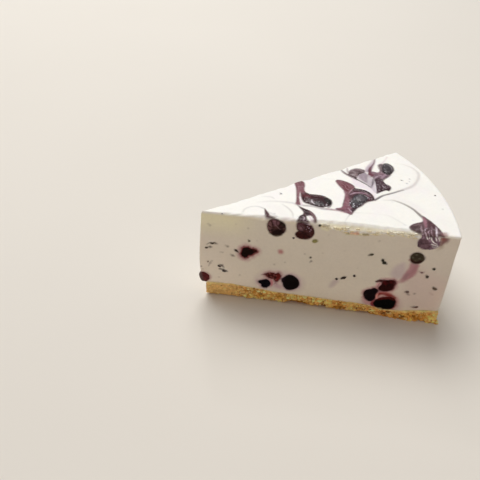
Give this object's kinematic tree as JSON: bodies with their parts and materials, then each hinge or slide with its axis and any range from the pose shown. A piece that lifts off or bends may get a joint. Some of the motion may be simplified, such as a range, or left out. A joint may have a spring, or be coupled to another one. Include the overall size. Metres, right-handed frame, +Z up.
{
  "type": "cheesecake slice",
  "caption": "Wedge-shaped slice of pale set cream cheesecake with dark berries in its cuts and top, on a thin crumb base; stands flat to be served or eaten.",
  "frame": {"origin": "under the middle of the slice's box, on the plane it rests on", "axes": "+X from the tip to the curved rim, +Y across the wedge away from the cut that the picture shows, +Z up"},
  "size_m": [0.0906, 0.0584, 0.0418],
  "materials": {
    "filling": "soft satin cream, dense and smooth on top, knife-cut on the sides",
    "crumb_base": "rough golden-brown pressed biscuit crumbs",
    "berry": "dark purple-black berry, moist skin and cut flesh"
  },
  "bodies": {
    "root": {"crumb_base": "crumb_base", "filling": "filling", "berry_back_01": "berry", "berry_back_02": "berry", "berry_back_03": "berry", "berry_back_04": "berry", "berry_back_05": "berry", "berry_back_06": "berry", "berry_back_07": "berry", "berry_back_08": "berry", "berry_back_09": "berry", "berry_back_10": "berry", "berry_back_11": "berry", "berry_back_12": "berry", "berry_front_01": "berry", "berry_front_02": "berry", "berry_front_03": "berry", "berry_front_04": "berry", "berry_front_05": "berry", "berry_front_06": "berry", "berry_front_07": "berry", "berry_front_08": "berry", "berry_front_09": "berry", "berry_front_10": "berry", "berry_front_11": "berry", "berry_front_12": "berry", "berry_top_01": "berry", "berry_top_02": "berry", "berry_top_03": "berry", "berry_top_04": "berry", "berry_top_05": "berry", "berry_top_06": "berry"}
  },
  "joints": []
}
